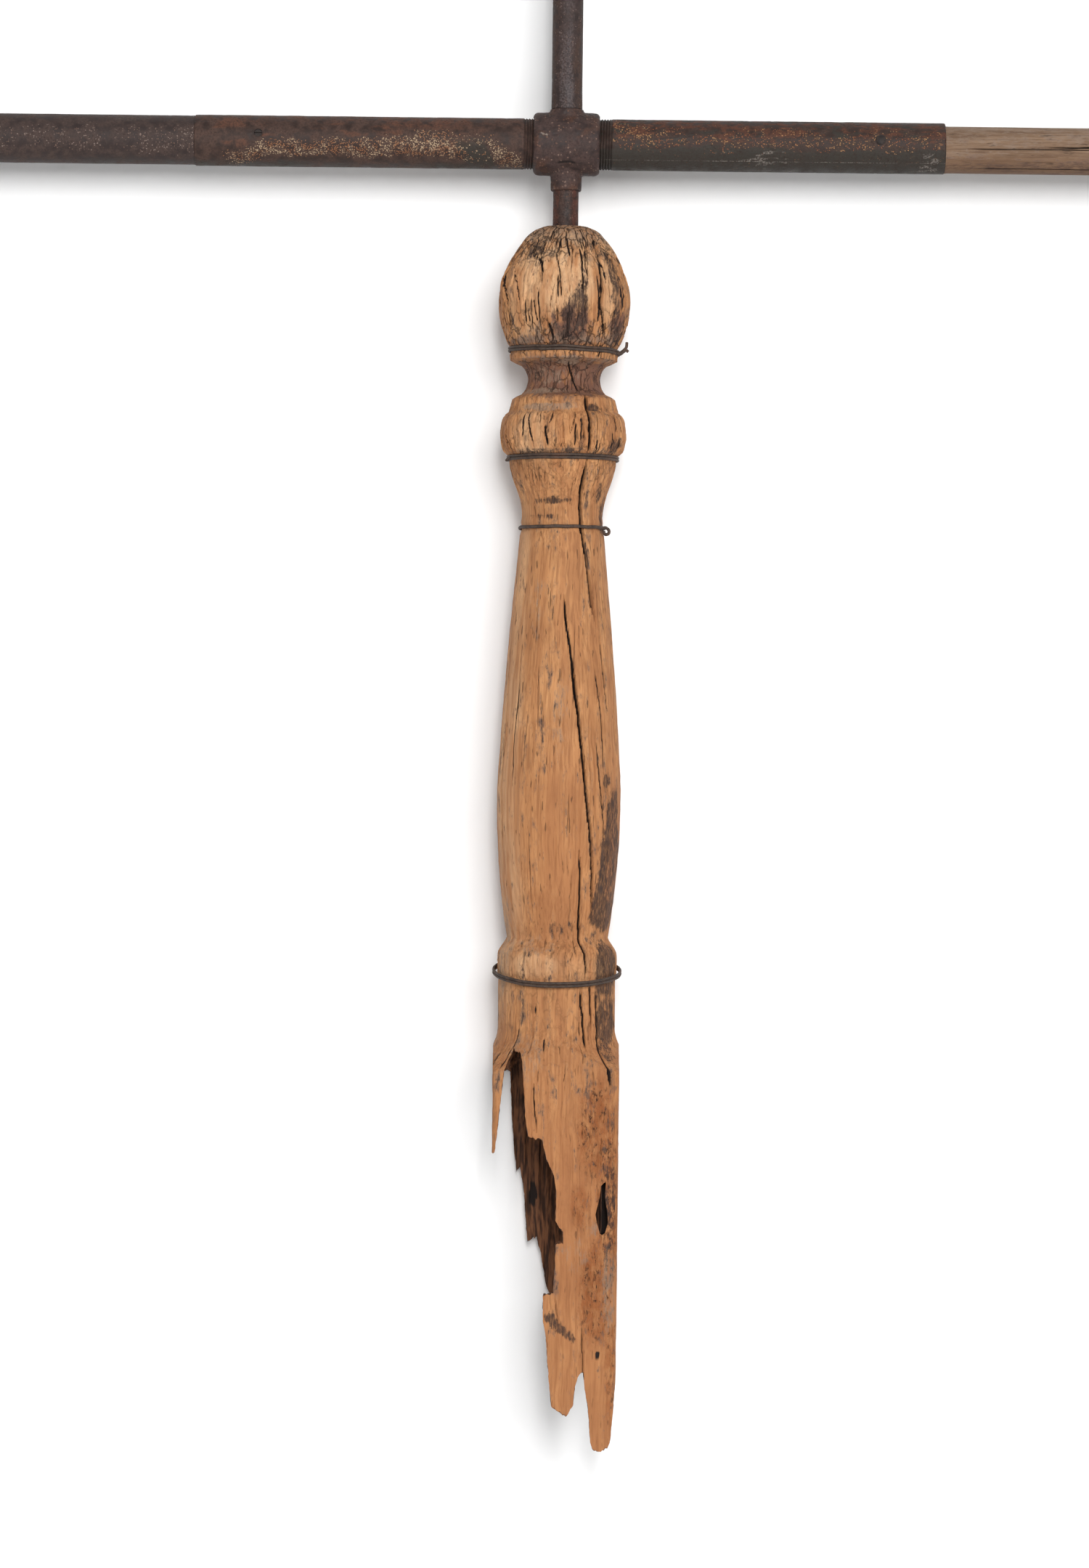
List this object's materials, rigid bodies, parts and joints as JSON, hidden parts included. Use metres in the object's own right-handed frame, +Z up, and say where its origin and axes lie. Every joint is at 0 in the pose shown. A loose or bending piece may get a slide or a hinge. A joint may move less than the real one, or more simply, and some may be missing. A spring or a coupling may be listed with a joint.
{
  "type": "railway semaphore signal",
  "caption": "Pipe crosshead with two level arms and a mast that turns on the spindle of a weathered, wire-bound turned wooden post.",
  "frame": {"origin": "on the spindle's axis, level with the lowest tip of the broken post", "axes": "+Z up the post, +X along the right arm, +Y away from the viewer"},
  "size_m": [1.12, 0.1076, 1.313],
  "materials": {
    "weathered_wood": "bare weathered pine, checked and stained",
    "binding_wire": "rusted drawn wire",
    "spindle_iron": "rusted pipe, rubbed dark",
    "washer_steel": "worn plain steel",
    "cross_iron": "rusted malleable casting",
    "mast_iron": "rusted tube",
    "arm_iron": "rusted pipe with pitted old paint",
    "extension_iron": "rusted pipe",
    "bar_wood": "grey weathered hardwood with long checks",
    "fastener_steel": "rusted"
  },
  "bodies": {
    "post": {"post": "weathered_wood", "wire_neck": "binding_wire", "wire_bulb": "binding_wire", "wire_waist": "binding_wire", "wire_ring": "binding_wire", "spindle_pipe": "spindle_iron", "thrust_washer": "washer_steel"},
    "head": {"cross_fitting": "cross_iron", "mast_pipe": "mast_iron", "arm_pipe_left": "arm_iron", "arm_pipe_right": "arm_iron", "arm_extension_left": "extension_iron", "arm_bar_right": "bar_wood", "joint_screw": "fastener_steel", "bar_nail": "fastener_steel"}
  },
  "joints": [
    {"name": "head_swivel", "type": "hinge", "parent": "post", "child": "head", "pos_m": [0, 0, 1.05], "axis": [0, 0, 1], "continuous": true}
  ]
}
